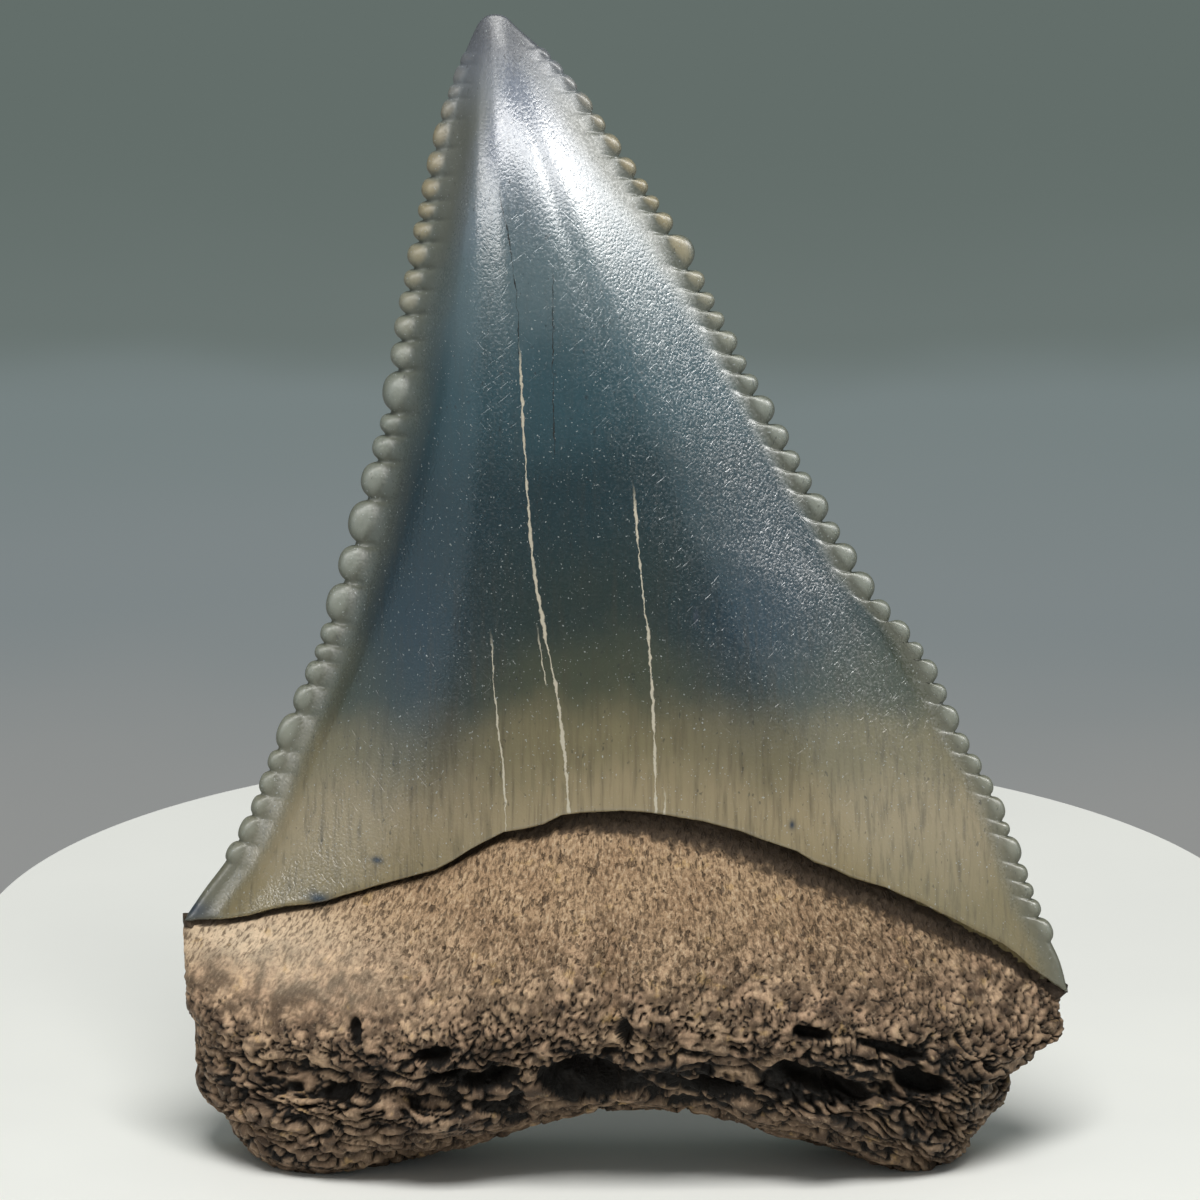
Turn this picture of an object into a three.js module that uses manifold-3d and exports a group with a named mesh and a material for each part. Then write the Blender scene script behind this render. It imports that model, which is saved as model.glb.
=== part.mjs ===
// Fossil tooth of a great white shark: a blade-shaped serrated crown on a massive worn root.
// Millimetres, +Z towards the tip, -Y towards the tongue side, which is the bulging one.
import * as THREE from 'three';
import { mergeVertices } from 'three/addons/utils/BufferGeometryUtils.js';
import Module from 'manifold-3d';

// Driving dimensions
const HALF_WIDTH = 18.16;
const ROOT_DEPTH_FRONT = 7.4;
const ROOT_BULGE = 0.19;
const ROOT_DEPTH_BACK = 2.2;
const CROWN_DEPTH_FRONT = 5.0;
const CROWN_DEPTH_BACK = 1.9;
const ENAMEL_LIP = 0.32;
const ENAMEL_CLEARANCE = 0.14;
const LEAST_DEPTH = 0.06;

// A serration one millimetre long stands out by its reach, longer ones by a power of their length.
// Its half length is a little over half the space between two notches.
const SERRATION_REACH = 0.55;
const SERRATION_POWER = 0.7;
const SERRATION_HALF_LENGTH = 0.53;
const SERRATION_HALF_THICKNESS = 0.42;

// The thin blade along the cutting edges, and the shares of the width and height in which it thickens
const BLADE_HALF_THICKNESS = 0.2;
const BLADE_RIM_SHARE = 0.083;
const BLADE_TIP_SHARE = 0.05;

// The section of the root is nearly square, loses some depth towards its sides, and turns into the
// crown's section above a share of its height.
const ROOT_SQUARENESS = 3.2;
const ROOT_SIDE_LOSS = 0.24;
const ROOT_TURN = 0.55;

// The section of the crown is full in the middle and hollows out towards the edges, and its crest lies
// left of the middle near the tip. The depth falls by two shares from the enamel border to the tip,
// evenly and mostly near the tip, and the tip is blunt.
const CROWN_FULLNESS = 2.6;
const CROWN_HOLLOW = 1.3;
const CREST_SHIFT = 0.25;
const CROWN_TAPER_EVEN = 0.42;
const CROWN_TAPER_LATE = 0.38;
const CROWN_TAPER_BACK = 0.8;
const TIP_BLUNTNESS = 14;

// The cutting edges lie in the plane y = EDGE_Y, so that the tooth is centred on y = 0.
const EDGE_Y = (ROOT_DEPTH_FRONT + ROOT_BULGE - ROOT_DEPTH_BACK) / 2;

// Mesh density
const COLUMNS = 34;
const RIM_CROWDING = 0.6;
const MERGE_DISTANCE = 1e-4;
const ROOT_ROWS = [0, 0.03, 0.07, 0.13, 0.21, 0.3, 0.4, 0.5, 0.6, 0.71, 0.82, 0.92, 1];
const CROWN_ROWS = [0, 0.03, 0.08, 0.14, 0.21, 0.28, 0.36, 0.44, 0.52, 0.6, 0.68, 0.76, 0.83, 0.89, 0.94, 0.98, 1];

// Front outline as [x, z] points, the crown first
const TIP = [[-5.94, 47.35], [-5.65, 47.65], [-5.3, 47.75], [-4.85, 47.66], [-4.45, 47.27]];
const LEFT_EDGE = [
  [-18.16, 9.73], [-17.25, 11.1], [-16.25, 12.5], [-15.24, 14.38], [-14.27, 16.92], [-13.32, 19.04],
  [-12.31, 21.57], [-11.47, 24.11], [-10.63, 27.07], [-9.97, 29.59], [-9.34, 32.12], [-8.96, 35.05],
  [-8.42, 37.97], [-7.88, 40.88], [-7.39, 43.37], [-6.89, 45.02], [-6.25, 46.68], [-5.94, 47.35],
];
const RIGHT_EDGE = [
  [18.16, 6.64], [17.79, 8.04], [16.9, 9.94], [16.05, 12.22], [14.91, 15.1], [13.45, 17.77],
  [12, 20.9], [9.95, 23.39], [7.98, 26.69], [6.39, 29.63], [4.69, 32.83], [2.95, 36.3],
  [1.19, 39.59], [-0.28, 41.92], [-1.83, 44.42], [-3.38, 46.32], [-4.45, 47.27],
];
const ROOT_LEFT = [
  [-17.0, 1.75], [-17.5, 2.5], [-17.7, 3.1], [-17.55, 3.64], [-17.79, 4.19], [-17.75, 5.46],
  [-18.04, 6.09], [-18.12, 7.4], [-18.16, 9.73],
];
const ROOT_RIGHT = [
  [15.62, 1.82], [15.87, 2.79], [15.83, 3.6], [16.36, 3.76], [16.97, 4.19], [17.06, 4.57],
  [18.0, 4.78], [18.0, 5.33], [17.84, 5.88], [17.88, 6.3], [18.16, 6.64],
];

// Lower border: two lobes that reach the floor and a low arch between them
const LOWER_BORDER = [
  [-17.0, 1.75], [-16.2, 0.95], [-15.21, 0.0], [-14.31, -0.7], [-12.55, -0.95], [-11.28, -0.8],
  [-9.47, -0.3], [-7.22, 0.3], [-5.37, 0.9], [-3.57, 1.5], [-1.35, 2.1], [0.57, 2.25],
  [2.38, 2.1], [4.22, 1.7], [7.05, 0.75], [9.18, 0.05], [10.58, -0.6], [11.69, -0.9],
  [13.04, -0.8], [13.69, -0.3], [14.23, 0.42], [14.9, 1.25], [15.62, 1.82],
];

// Where enamel meets root, on the tongue side and on the lip side
const ENAMEL_BORDER_FRONT = [
  [-18.16, 9.73], [-16.77, 9.95], [-15.42, 10.32], [-14.31, 10.77], [-12.18, 11.45], [-10.82, 12.07],
  [-9.47, 12.6], [-8.08, 13.12], [-7.18, 13.6], [-5.0, 15.01], [-3.65, 15.32], [-2.3, 15.9],
  [1.15, 15.92], [3.24, 15.5], [5.0, 14.89], [7.42, 13.71], [9.1, 12.84], [11.69, 11.49],
  [13.86, 10.06], [15.5, 8.95], [16.89, 7.65], [18.16, 6.64],
];
const ENAMEL_BORDER_BACK = [
  [-18.16, 9.73], [-15.6, 9.2], [-11.0, 10.4], [-6.0, 12.4], [0.0, 13.4], [6.0, 12.0],
  [11.0, 9.4], [15.6, 7.1], [18.16, 6.64],
];

// Heights of the notches between the serrations, from the tip down
const LEFT_NOTCHES = [
  46.2, 45.7, 44.9, 44.3, 43.4, 42.2, 41.1, 40.1, 39.3, 38.4, 37.3, 36.4, 35.4, 34.3, 33.1, 31.3,
  30.4, 29.3, 27.7, 25.8, 24.2, 22.5, 21.6, 20.9, 19.9, 18.7, 17.1, 16.2, 15.2, 14.3, 13.2, 12.3,
];
const RIGHT_NOTCHES = [
  46.4, 45.9, 45.3, 44.6, 43.7, 42.9, 41.9, 41, 40.3, 39.6, 38.7, 37.2, 36.3, 35.5, 34.7, 33.7,
  32.9, 32, 30.8, 29.7, 28.8, 27.9, 26.7, 25.8, 24.6, 23.4, 22.5, 21.6, 20.9, 19.9, 19, 17.8,
  16.9, 16, 15.1, 14, 13.4, 12.2, 11.4, 10.7, 9.9, 8.8,
];

// Depth of the root in front of and behind the cutting edges, as a share of its greatest depth,
// against the height (0 floor, 1 enamel)
const ROOT_FRONT_PROFILE = [
  [0, 0], [0.03, 0.4], [0.07, 0.58], [0.13, 0.76], [0.21, 0.9], [0.3, 0.97], [0.42, 1], [0.55, 0.97],
  [0.7, 0.87], [0.85, 0.75], [1, 0.63],
];
const ROOT_BACK_PROFILE = [[0, 0], [0.03, 0.5], [0.08, 0.75], [0.2, 0.95], [0.4, 1], [0.7, 0.9], [1, 0.75]];

// Lumps (positive) and worn dents (negative) of the root face: x, z, half-width, half-height, depth
const ROOT_RELIEF = [
  [-1.0, 9.5, 6.0, 3.2, 0.35],
  [-9.5, 8.2, 3.4, 2.0, 0.4],
  [9.5, 7.6, 3.6, 2.2, 0.35],
  [-4.8, 6.2, 1.6, 2.6, -0.4],
  [4.2, 8.4, 1.2, 3.0, -0.3],
  [-13.4, 4.6, 2.2, 0.8, -0.5],
  [-9.0, 4.1, 2.0, 0.6, -0.6],
  [5.4, 5.4, 2.4, 0.6, -0.45],
  [10.8, 4.6, 2.8, 0.55, -0.5],
  [13.6, 6.0, 2.0, 0.5, -0.4],
  [7.6, 3.3, 2.4, 0.5, 0.4],
  [-6.4, 3.0, 2.0, 0.7, 0.35],
];

// Pits bored into the root: x, z, depth in front of the edge plane, then the three half-sizes
const ROOT_PITS = [
  [-1.5, 4.9, 7.2, 2.1, 1.3, 1.5],
  [-0.1, 7.0, 7.9, 0.42, 1.0, 0.7],
  [-8.9, 5.3, 6.6, 0.8, 0.6, 0.9],
  [-7.6, 4.2, 6.2, 0.9, 0.45, 0.9],
  [-5.9, 4.5, 6.6, 1.1, 0.5, 0.8],
  [-12.6, 3.2, 4.7, 0.8, 0.5, 0.8],
  [3.9, 4.1, 6.3, 0.9, 0.45, 0.7],
  [8.6, 4.6, 5.9, 1.0, 0.4, 0.7],
  [12.3, 3.6, 4.6, 0.9, 0.45, 0.7],
];

const wasm = await Module();
wasm.setup();

function smoothCurve(points) {
  const places = points.map(([x, z]) => new THREE.Vector3(x, 0, z));
  return new THREE.CatmullRomCurve3(places, false, 'centripetal');
}

function profileValue(profile, t) {
  let last = 1;
  while (last < profile.length - 1 && profile[last][0] < t) {
    last += 1;
  }
  const [t0, value0] = profile[last - 1];
  const [t1, value1] = profile[last];
  return THREE.MathUtils.lerp(value0, value1, (t - t0) / (t1 - t0));
}

// A patch of the front view bounded by four curves, as a function of (across, up)
function boundedPatch(lower, upper, left, right) {
  const corners = [lower.getPoint(0), lower.getPoint(1), upper.getPoint(0), upper.getPoint(1)];
  return (across, up) => {
    const below = lower.getPointAt(across);
    const above = upper.getPointAt(across);
    const start = left.getPointAt(up);
    const end = right.getPointAt(up);
    const place = (key) => (1 - up) * below[key] + up * above[key]
      + (1 - across) * start[key] + across * end[key]
      - (1 - across) * (1 - up) * corners[0][key] - across * (1 - up) * corners[1][key]
      - (1 - across) * up * corners[2][key] - across * up * corners[3][key];
    return [place('x'), place('z')];
  };
}

function relief(x, z) {
  let height = 0;
  for (const [cx, cz, halfWidth, halfHeight, depth] of ROOT_RELIEF) {
    const distance = ((x - cx) / halfWidth) ** 2 + ((z - cz) / halfHeight) ** 2;
    height += depth * Math.exp(-distance);
  }
  return height;
}

// Depth across the tooth, 0 at the rims. The crest moves the highest line to the left of the middle.
function crownSection(across, crest = 0) {
  const place = 2 * across - 1;
  const side = Math.abs((place + crest) / (1 + crest * place));
  return (1 - side ** CROWN_FULLNESS) ** CROWN_HOLLOW;
}

function rootSection(across, up) {
  const side = Math.abs(2 * across - 1);
  const full = Math.sqrt(1 - side ** ROOT_SQUARENESS) * (1 - ROOT_SIDE_LOSS * side ** 2);
  const underEnamel = THREE.MathUtils.smoothstep(up, ROOT_TURN, 1);
  return THREE.MathUtils.lerp(full, crownSection(across), underEnamel);
}

function rootDepth(across, up, x, z, front) {
  const section = rootSection(across, up);
  if (!front) {
    return ROOT_DEPTH_BACK * section * profileValue(ROOT_BACK_PROFILE, up);
  }
  const base = ROOT_DEPTH_FRONT * section * profileValue(ROOT_FRONT_PROFILE, up);
  const openFace = THREE.MathUtils.smoothstep(up, 0, 0.2) * (1 - THREE.MathUtils.smoothstep(up, 0.8, 1));
  return base + relief(x, z) * Math.min(1, 2 * section) * openFace;
}

function crownBody(across, up, front) {
  if (front) {
    const taper = CROWN_TAPER_EVEN * up + CROWN_TAPER_LATE * up ** 4;
    return CROWN_DEPTH_FRONT * crownSection(across, CREST_SHIFT * up) * (1 - taper);
  }
  return CROWN_DEPTH_BACK * crownSection(across) * (1 - CROWN_TAPER_BACK * up);
}

function crownDepth(across, up, front) {
  const body = crownBody(across, up, front) * (1 - up ** TIP_BLUNTNESS);
  const rim = 1 - Math.abs(2 * across - 1);
  const thickening = Math.min(1, rim / BLADE_RIM_SHARE) * Math.min(1, (1 - up) / BLADE_TIP_SHARE);
  return body + BLADE_HALF_THICKNESS * thickening;
}

// The two faces of the tooth as rows of points from the floor to the tip
function faceRows(front) {
  const border = smoothCurve(front ? ENAMEL_BORDER_FRONT : ENAMEL_BORDER_BACK);
  const rootPatch = boundedPatch(
    smoothCurve(LOWER_BORDER), border, smoothCurve(ROOT_LEFT), smoothCurve(ROOT_RIGHT),
  );
  const crownPatch = boundedPatch(
    border, smoothCurve(TIP), smoothCurve(LEFT_EDGE), smoothCurve(RIGHT_EDGE),
  );
  const sign = front ? -1 : 1;
  const rows = [];
  for (const up of ROOT_ROWS) {
    rows.push((across) => {
      const [x, z] = rootPatch(across, up);
      const depth = rootDepth(across, up, x, z, front);
      const isTop = up === 1;
      const rim = Math.min(across, 1 - across) === 0;
      const tucked = isTop && !rim ? Math.max(depth - ENAMEL_LIP, LEAST_DEPTH) : depth;
      return [x, EDGE_Y + sign * tucked, isTop ? z - ENAMEL_CLEARANCE : z];
    });
  }
  for (const up of CROWN_ROWS) {
    rows.push((across) => {
      const [x, z] = crownPatch(across, up);
      return [x, EDGE_Y + sign * crownDepth(across, up, front), z];
    });
  }
  return rows;
}

// Columns crowd towards both rims, where the section turns fastest
function columnPlaces() {
  const places = [];
  for (let column = 0; column <= COLUMNS; column += 1) {
    const even = column / COLUMNS;
    const crowded = (1 - Math.cos(Math.PI * even)) / 2;
    places.push(column === COLUMNS ? 1 : THREE.MathUtils.lerp(even, crowded, RIM_CROWDING));
  }
  return places;
}

function bodyGeometry() {
  const frontRows = faceRows(true);
  const backRows = faceRows(false);
  const columns = columnPlaces();
  const positions = [];
  const index = [];
  const addFace = (rows, outwardFirst) => {
    const start = positions.length / 3;
    for (const row of rows) {
      for (const across of columns) {
        positions.push(...row(across));
      }
    }
    const width = columns.length;
    for (let row = 0; row < rows.length - 1; row += 1) {
      for (let column = 0; column < COLUMNS; column += 1) {
        const a = start + row * width + column;
        const b = a + 1;
        const c = a + width;
        const d = c + 1;
        const faces = outwardFirst ? [a, b, d, a, d, c] : [b, a, c, b, c, d];
        index.push(...faces);
      }
    }
  };
  addFace(frontRows, true);
  addFace(backRows, false);
  const geometry = new THREE.BufferGeometry();
  geometry.setAttribute('position', new THREE.Float32BufferAttribute(positions, 3));
  geometry.setIndex(index);
  return mergeVertices(geometry, MERGE_DISTANCE);
}

function toSolid(geometry) {
  const bare = geometry.clone();
  bare.deleteAttribute('normal');
  bare.deleteAttribute('uv');
  const merged = mergeVertices(bare, MERGE_DISTANCE);
  return new wasm.Manifold(new wasm.Mesh({
    numProp: 3,
    vertProperties: new Float32Array(merged.attributes.position.array),
    triVerts: new Uint32Array(merged.index.array),
  }));
}

function toGeometry(solid) {
  const mesh = solid.getMesh();
  const geometry = new THREE.BufferGeometry();
  geometry.setAttribute('position', new THREE.Float32BufferAttribute(mesh.vertProperties, 3));
  geometry.setIndex(Array.from(mesh.triVerts));
  geometry.computeVertexNormals();
  return geometry;
}

// The place on an edge curve at a given height; the heights rise steadily along the curve.
function pointAtHeight(edge, height) {
  let low = 0;
  let high = 1;
  for (let step = 0; step < 30; step += 1) {
    const middle = (low + high) / 2;
    if (edge.getPoint(middle).z < height) {
      low = middle;
    } else {
      high = middle;
    }
  }
  return edge.getPoint((low + high) / 2);
}

// One serration for each pair of notches: a flat sharp-rimmed bead along the edge
function serrations(edgePoints, notches) {
  const edge = smoothCurve(edgePoints);
  const beads = [];
  for (let i = 0; i < notches.length - 1; i += 1) {
    const upper = pointAtHeight(edge, notches[i]);
    const lower = pointAtHeight(edge, notches[i + 1]);
    const along = upper.clone().sub(lower);
    const length = along.length();
    const bead = new THREE.SphereGeometry(1, 8, 2);
    const reach = SERRATION_REACH * length ** SERRATION_POWER;
    bead.scale(reach, SERRATION_HALF_THICKNESS, SERRATION_HALF_LENGTH * length);
    bead.rotateY(Math.atan2(along.x, along.z));
    const centre = upper.clone().add(lower).multiplyScalar(0.5);
    bead.translate(centre.x, EDGE_Y, centre.z);
    beads.push(bead);
  }
  return beads;
}

function pits() {
  return ROOT_PITS.map(([x, z, depth, halfWidth, halfHeight, halfDepth]) => {
    const pit = new THREE.SphereGeometry(1, 8, 5);
    pit.scale(halfWidth, halfDepth, halfHeight);
    pit.translate(x, EDGE_Y - depth, z);
    return pit;
  });
}

// Everything below the floor, worn away so that both lobes end in a small flat foot
function belowFloor() {
  const depth = 4;
  const block = new THREE.BoxGeometry(4 * HALF_WIDTH, 4 * HALF_WIDTH, depth);
  block.translate(0, 0, -depth / 2);
  return block;
}

function toothGeometry() {
  let solid = toSolid(bodyGeometry());
  const beads = [...serrations(LEFT_EDGE, LEFT_NOTCHES), ...serrations(RIGHT_EDGE, RIGHT_NOTCHES)];
  for (const bead of beads) {
    solid = solid.add(toSolid(bead));
  }
  for (const pit of pits()) {
    solid = solid.subtract(toSolid(pit));
  }
  return toGeometry(solid.subtract(toSolid(belowFloor())));
}

function toothMaterial() {
  return new THREE.MeshStandardMaterial({ color: 0x7f7a6c, roughness: 0.45, metalness: 0 });
}

const tooth = new THREE.Mesh(toothGeometry(), toothMaterial());
tooth.name = 'tooth';

const group = new THREE.Group();
group.add(tooth);

export default group;
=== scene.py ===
"""Fossil great white shark tooth: the enamel crown and the worn bony root, lit softly on a pale floor."""

import itertools
import math

import bmesh
import bpy
import numpy as np
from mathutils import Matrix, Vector


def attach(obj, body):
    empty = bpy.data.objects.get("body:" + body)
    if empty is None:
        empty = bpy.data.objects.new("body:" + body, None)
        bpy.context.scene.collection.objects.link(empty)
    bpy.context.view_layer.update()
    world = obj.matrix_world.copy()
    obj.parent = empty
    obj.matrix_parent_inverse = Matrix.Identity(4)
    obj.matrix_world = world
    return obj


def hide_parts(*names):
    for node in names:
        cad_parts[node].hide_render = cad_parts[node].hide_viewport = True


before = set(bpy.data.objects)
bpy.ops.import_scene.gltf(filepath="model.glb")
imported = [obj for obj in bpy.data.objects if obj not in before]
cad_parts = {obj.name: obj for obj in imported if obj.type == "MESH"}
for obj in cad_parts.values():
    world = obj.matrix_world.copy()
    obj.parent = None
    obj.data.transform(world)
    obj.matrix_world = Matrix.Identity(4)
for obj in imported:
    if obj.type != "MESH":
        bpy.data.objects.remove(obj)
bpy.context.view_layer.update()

MM = 0.001

# Driving dimensions in millimetres, the same as in the solid
ROOT_DEPTH_FRONT = 7.4
ROOT_BULGE = 0.19
ROOT_DEPTH_BACK = 2.2
CROWN_DEPTH_FRONT = 5.0
CROWN_DEPTH_BACK = 1.9
ENAMEL_LIP = 0.32
EDGE_Y = (ROOT_DEPTH_FRONT + ROOT_BULGE - ROOT_DEPTH_BACK) / 2

# The thin blade along the cutting edges, and the shallow cove between it and the body of the crown
BLADE_HALF_THICKNESS = 0.2
BLADE_ROUNDING = 0.36
COVE_START = 0.3
CREASE_SOFTNESS = 0.12
COVE_SIDE = 0.4
LEFT_COVE_END = 1.35
LEFT_COVE_DEPTH = 0.42
RIGHT_COVE_END = 1.0
RIGHT_COVE_DEPTH = 0.05

# Serrations: how far a one-millimetre bead stands out on each edge, how much of the space between two
# notches it fills, how far in it pushes the surface, how thick the round bead is and how far it reaches
# outwards and inwards from the line of the notches
LEFT_SERRATION_REACH = 0.34
RIGHT_SERRATION_REACH = 0.46
SERRATION_FILL = 0.9
SERRATION_FADE = 0.6
BEAD_HALF_THICKNESS = 0.05
BEAD_OUTER_HALF = 0.6
BEAD_INNER_HALF = 0.45

# The beads shrink to these sizes at the tip and at the base, between these heights
BEAD_TIP_SIZE = 0.3
BEAD_TIP_HEIGHTS = (46.5, 38.0)
BEAD_BASE_SIZE = 0.6
BEAD_BASE_HEIGHTS = (28.0, 12.0)

# The strip along each cutting edge whose columns are crowded: its width, at most a share of the crown's
CROWDED_WIDTH = 1.8
CROWDED_SHARE = 0.24

# The lower edge of the enamel: how ragged it is, in millimetres, the length of its waves, and how many
# rows of points they reach
RAGGED_HEIGHT = 0.1
RAGGED_LENGTH = 0.7
RAGGED_ROWS = 6

# Front outline as (x, z) points
TIP = [(-5.94, 47.35), (-5.65, 47.65), (-5.3, 47.75), (-4.85, 47.66), (-4.45, 47.27)]
LEFT_EDGE = [
    (-18.16, 9.73), (-17.25, 11.1), (-16.25, 12.5), (-15.24, 14.38), (-14.27, 16.92), (-13.32, 19.04),
    (-12.31, 21.57), (-11.47, 24.11), (-10.63, 27.07), (-9.97, 29.59), (-9.34, 32.12), (-8.96, 35.05),
    (-8.42, 37.97), (-7.88, 40.88), (-7.39, 43.37), (-6.89, 45.02), (-6.25, 46.68), (-5.94, 47.35),
]
RIGHT_EDGE = [
    (18.16, 6.64), (17.79, 8.04), (16.9, 9.94), (16.05, 12.22), (14.91, 15.1), (13.45, 17.77),
    (12.0, 20.9), (9.95, 23.39), (7.98, 26.69), (6.39, 29.63), (4.69, 32.83), (2.95, 36.3),
    (1.19, 39.59), (-0.28, 41.92), (-1.83, 44.42), (-3.38, 46.32), (-4.45, 47.27),
]
ROOT_LEFT = [
    (-17.0, 1.75), (-17.5, 2.5), (-17.7, 3.1), (-17.55, 3.64), (-17.79, 4.19), (-17.75, 5.46),
    (-18.04, 6.09), (-18.12, 7.4), (-18.16, 9.73),
]
ROOT_RIGHT = [
    (15.62, 1.82), (15.87, 2.79), (15.83, 3.6), (16.36, 3.76), (16.97, 4.19), (17.06, 4.57),
    (18.0, 4.78), (18.0, 5.33), (17.84, 5.88), (17.88, 6.3), (18.16, 6.64),
]
LOWER_BORDER = [
    (-17.0, 1.75), (-16.2, 0.95), (-15.21, 0.0), (-14.31, -0.7), (-12.55, -0.95), (-11.28, -0.8),
    (-9.47, -0.3), (-7.22, 0.3), (-5.37, 0.9), (-3.57, 1.5), (-1.35, 2.1), (0.57, 2.25),
    (2.38, 2.1), (4.22, 1.7), (7.05, 0.75), (9.18, 0.05), (10.58, -0.6), (11.69, -0.9),
    (13.04, -0.8), (13.69, -0.3), (14.23, 0.42), (14.9, 1.25), (15.62, 1.82),
]
ENAMEL_BORDER_FRONT = [
    (-18.16, 9.73), (-16.77, 9.95), (-15.42, 10.32), (-14.31, 10.77), (-12.18, 11.45), (-10.82, 12.07),
    (-9.47, 12.6), (-8.08, 13.12), (-7.18, 13.6), (-5.0, 15.01), (-3.65, 15.32), (-2.3, 15.9),
    (1.15, 15.92), (3.24, 15.5), (5.0, 14.89), (7.42, 13.71), (9.1, 12.84), (11.69, 11.49),
    (13.86, 10.06), (15.5, 8.95), (16.89, 7.65), (18.16, 6.64),
]
ENAMEL_BORDER_BACK = [
    (-18.16, 9.73), (-15.6, 9.2), (-11.0, 10.4), (-6.0, 12.4), (0.0, 13.4), (6.0, 12.0),
    (11.0, 9.4), (15.6, 7.1), (18.16, 6.64),
]

# Heights of the notches between the serrations, from the tip down
LEFT_NOTCHES = [
    46.2, 45.7, 44.9, 44.3, 43.4, 42.2, 41.1, 40.1, 39.3, 38.4, 37.3, 36.4, 35.4, 34.3, 33.1, 31.3,
    30.4, 29.3, 27.7, 25.8, 24.2, 22.5, 21.6, 20.9, 19.9, 18.7, 17.1, 16.2, 15.2, 14.3, 13.2, 12.3,
]
RIGHT_NOTCHES = [
    46.4, 45.9, 45.3, 44.6, 43.7, 42.9, 41.9, 41.0, 40.3, 39.6, 38.7, 37.2, 36.3, 35.5, 34.7, 33.7,
    32.9, 32.0, 30.8, 29.7, 28.8, 27.9, 26.7, 25.8, 24.6, 23.4, 22.5, 21.6, 20.9, 19.9, 19.0, 17.8,
    16.9, 16.0, 15.1, 14.0, 13.4, 12.2, 11.4, 10.7, 9.9, 8.8,
]

# Depth of the root in front of and behind the cutting edges, as a share of its greatest depth,
# against the height (0 floor, 1 enamel)
ROOT_FRONT_PROFILE = [
    (0, 0), (0.03, 0.4), (0.07, 0.58), (0.13, 0.76), (0.21, 0.9), (0.3, 0.97), (0.42, 1), (0.55, 0.97),
    (0.7, 0.87), (0.85, 0.75), (1, 0.63),
]
ROOT_BACK_PROFILE = [(0, 0), (0.03, 0.5), (0.08, 0.75), (0.2, 0.95), (0.4, 1), (0.7, 0.9), (1, 0.75)]

# The section of the crown is full in the middle and hollows out towards the edges, and its crest lies
# left of the middle near the tip. The depth falls by two shares from the enamel border to the tip,
# evenly and mostly near the tip, and the tip is blunt
CROWN_FULLNESS = 2.6
CROWN_HOLLOW = 1.3
CREST_SHIFT = 0.25
CROWN_TAPER_EVEN = 0.42
CROWN_TAPER_LATE = 0.38
CROWN_TAPER_BACK = 0.8
TIP_BLUNTNESS = 14

# Lumps and dents of the root face: x, z, half-width, half-height, depth
ROOT_RELIEF = [
    (-1.0, 9.5, 6.0, 3.2, 0.35),
    (-9.5, 8.2, 3.4, 2.0, 0.4),
    (9.5, 7.6, 3.6, 2.2, 0.35),
    (-4.8, 6.2, 1.6, 2.6, -0.4),
    (4.2, 8.4, 1.2, 3.0, -0.3),
    (-0.6, 8.6, 0.35, 3.4, -0.45),
    (-13.4, 4.6, 2.2, 0.8, -0.5),
    (-9.0, 4.1, 2.0, 0.6, -0.6),
    (5.4, 5.4, 2.4, 0.6, -0.45),
    (10.8, 4.6, 2.8, 0.55, -0.5),
    (13.6, 6.0, 2.0, 0.5, -0.4),
    (7.6, 3.3, 2.4, 0.5, 0.4),
    (-6.4, 3.0, 2.0, 0.7, 0.35),
]

# The bone's pattern in three zones, from the enamel down: fibres, knobs and open ridges. Each row holds
# half the width of its valleys as a value of the pattern, their depth in millimetres, how deep in a
# valley the painted shade of a pit begins, and how dark that painted shade gets
BONE_ZONES = [
    (0.4, 0.08, 0.75, 0.3),
    (0.42, 0.22, 0.78, 0.7),
    (0.65, 0.6, 0.58, 0.92),
]

# How much the valleys widen where the bone is most open, and how far lumps stand out at most
OPEN_GAP = 0.6
LUMP_HEIGHT = 0.06

# Sizes of the fibres, knobs and worm-like ridges along x, y and z, in millimetres
FIBRE_SIZE = (0.24, 0.3, 0.65)
KNOB_SIZE = (0.34, 0.34, 0.36)
WORM_SIZE = (0.95, 0.7, 0.32)

# Heights between which the bone turns from worn to whole, and from open to knobbly
WORN_HEIGHTS = (7.6, 13.0)
OPEN_HEIGHTS = (5.2, 8.4)

# The smooth pale bone at the left: x, z, half-width, half-height
PALE_PLACE = (-14.2, 8.9, 4.6, 1.7)

# Places where the worn bone is most open: x, z, half-width, half-height
OPEN_PLACES = [
    (11.0, 4.6, 4.5, 1.6),
    (1.0, 5.0, 6.0, 1.2),
    (-8.0, 4.6, 3.0, 1.2),
]

# How the root's upper rim is tucked under the enamel, inwards and upwards, and how far the underside of
# the enamel rises inwards
TUCK_IN = ENAMEL_LIP + 0.06
TUCK_UP = 0.35
LIP_RISE = 0.12

# Points of the grids: rows and columns, with the crown's columns that are crowded at each edge
CROWN_ROWS = 640
CROWN_COLUMNS_FRONT = 76
CROWN_COLUMNS_BACK = 56
CROWDED_COLUMNS = 16
ROOT_GRID_FRONT = (200, 480)
ROOT_GRID_BACK = (130, 300)

# Points nearer to each other than this, in millimetres, become one
CROWN_MERGE = 0.004
ROOT_MERGE = 0.002

# Rows of the root are closer at the floor by this power, and spaced where this share of the width lies
ROW_CROWDING = 1.25
MEASURED_COLUMN = 0.3

# Seeds of the noise. The back of the root takes the next seed after the front's
BONE_SEED = 3
CELL_SEED = 41
HOLLOW_SEED = 51
ROUGH_SEED = 61
LIP_SEED = 71

# The stage: the floor's slab, and the backdrop's place, size and the heights its colours lie between
FLOOR_HALF_WIDTH = 28.5
FLOOR_HALF_LENGTH = 59.0
BACKDROP_PLACE = 1100.0
BACKDROP_SIZE = 4000.0
BACKDROP_LOW = -345.0
BACKDROP_HIGH = -200.0

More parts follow.
